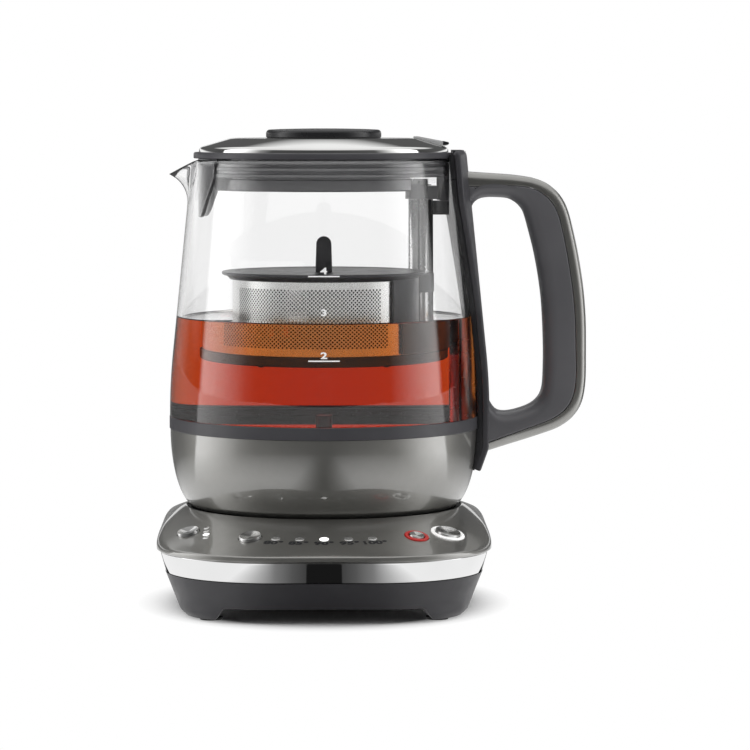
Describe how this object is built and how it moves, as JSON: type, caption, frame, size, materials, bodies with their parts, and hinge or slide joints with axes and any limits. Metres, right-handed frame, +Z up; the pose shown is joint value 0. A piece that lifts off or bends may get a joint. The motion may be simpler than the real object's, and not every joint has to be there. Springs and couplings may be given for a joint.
{
  "type": "automatic tea maker",
  "caption": "Electric tea maker: glass jug with a motor-lifted steel tea basket, lift-off lid and loop handle, on a heated-jug power base with push buttons.",
  "frame": {"origin": "on the jug's vertical axis, at the height of the surface that the feet rest on", "axes": "+Z up along the jug's axis, -Y to the front with the control panel, +X to the handle, -X to the spout"},
  "size_m": [0.207, 0.1858, 0.2288],
  "materials": {
    "gunmetal_paint": "glossy metallic",
    "dark_plastic": "satin",
    "black_plastic": "gloss",
    "brushed_steel": "brushed",
    "polished_steel": "polished",
    "clear_glass": "clear",
    "brass_contact": "bare",
    "rubber": "matte",
    "red_ring": "translucent",
    "lamp_window": "translucent",
    "circuit_board": "satin",
    "magnet": "plated"
  },
  "bodies": {
    "base": {"base_cover": "gunmetal_paint", "base_trim": "polished_steel", "base_tray": "dark_plastic", "base_feet": "rubber", "base_screws": "brushed_steel", "jug_seat": "black_plastic", "base_connector": "black_plastic", "connector_contacts": "brass_contact", "control_board": "circuit_board", "button_switches": "black_plastic", "strength_lights": "lamp_window", "temperature_lights": "lamp_window", "keep_warm_ring": "red_ring", "start_ring": "polished_steel", "cord_gland": "rubber"},
    "strength_button": {"strength_button": "brushed_steel"},
    "temperature_button": {"temperature_button": "brushed_steel"},
    "keep_warm_button": {"keep_warm_button": "brushed_steel"},
    "start_button": {"start_button": "brushed_steel"},
    "jug": {"glass_jug": "clear_glass", "collar_ring": "dark_plastic", "glass_seal": "rubber", "metal_shell": "gunmetal_paint", "jug_floor": "polished_steel", "heating_element": "brushed_steel", "temperature_probe": "polished_steel", "jug_bottom": "dark_plastic", "jug_connector": "black_plastic", "jug_contacts": "brass_contact", "lift_motor": "brushed_steel", "lift_post": "polished_steel", "post_rail": "black_plastic", "post_collar": "dark_plastic", "rim_bracket": "dark_plastic", "bracket_pad": "black_plastic", "handle_column": "dark_plastic", "handle_grip": "dark_plastic", "handle_strip": "gunmetal_paint", "handle_screws": "brushed_steel"},
    "lift_screw": {"lift_screw": "brushed_steel", "screw_coupling": "brass_contact"},
    "carriage": {"magnet_carriage": "black_plastic", "carriage_magnet": "magnet"},
    "lid": {"lid_cover": "polished_steel", "lid_ring": "dark_plastic", "lid_skirt": "dark_plastic", "lid_seal": "rubber", "spout_screen": "dark_plastic", "lid_knob": "black_plastic", "knob_screw": "brushed_steel", "lid_tab": "black_plastic"},
    "basket": {"basket_collar": "dark_plastic", "basket_drum": "brushed_steel", "basket_base": "dark_plastic", "basket_magnets": "magnet"},
    "basket_lid": {"basket_lid": "dark_plastic", "basket_tab": "black_plastic"}
  },
  "joints": [
    {"name": "jug_lift_off", "type": "slide", "parent": "base", "child": "jug", "axis": [0, 0, 1], "range_m": [0, 0.06]},
    {"name": "lid_lift_off", "type": "slide", "parent": "jug", "child": "lid", "axis": [0, 0, 1], "range_m": [0, 0.06]},
    {"name": "basket_lift", "type": "slide", "parent": "jug", "child": "basket", "axis": [0, 0, 1], "range_m": [-0.021, 0.032]},
    {"name": "basket_lid_lift_off", "type": "slide", "parent": "basket", "child": "basket_lid", "axis": [0, 0, 1], "range_m": [0, 0.03]},
    {"name": "carriage_travel", "type": "slide", "parent": "jug", "child": "carriage", "axis": [0, 0, 1], "range_m": [-0.021, 0.032]},
    {"name": "lift_screw_turn", "type": "hinge", "parent": "jug", "child": "lift_screw", "pos_m": [0.04704, 0.02193, 0.12], "axis": [0, 0, 1], "continuous": true},
    {"name": "strength_button_press", "type": "slide", "parent": "base", "child": "strength_button", "axis": [0.2175, 0.21, -0.9532], "range_m": [0, 0.0012], "stiffness_N_per_m": 400, "springref_m": -0.001},
    {"name": "temperature_button_press", "type": "slide", "parent": "base", "child": "temperature_button", "axis": [0.1172, 0.2787, -0.9532], "range_m": [0, 0.0012], "stiffness_N_per_m": 400, "springref_m": -0.001},
    {"name": "keep_warm_button_press", "type": "slide", "parent": "base", "child": "keep_warm_button", "axis": [-0.1471, 0.2642, -0.9532], "range_m": [0, 0.0012], "stiffness_N_per_m": 400, "springref_m": -0.001},
    {"name": "start_button_press", "type": "slide", "parent": "base", "child": "start_button", "axis": [-0.1976, 0.2289, -0.9532], "range_m": [0, 0.0012], "stiffness_N_per_m": 400, "springref_m": -0.001}
  ],
  "couplings": [
    {"joint": "carriage_travel", "follows": "basket_lift", "ratio": 1},
    {"joint": "lift_screw_turn", "follows": "basket_lift", "rad_per_m": 1047.2}
  ]
}
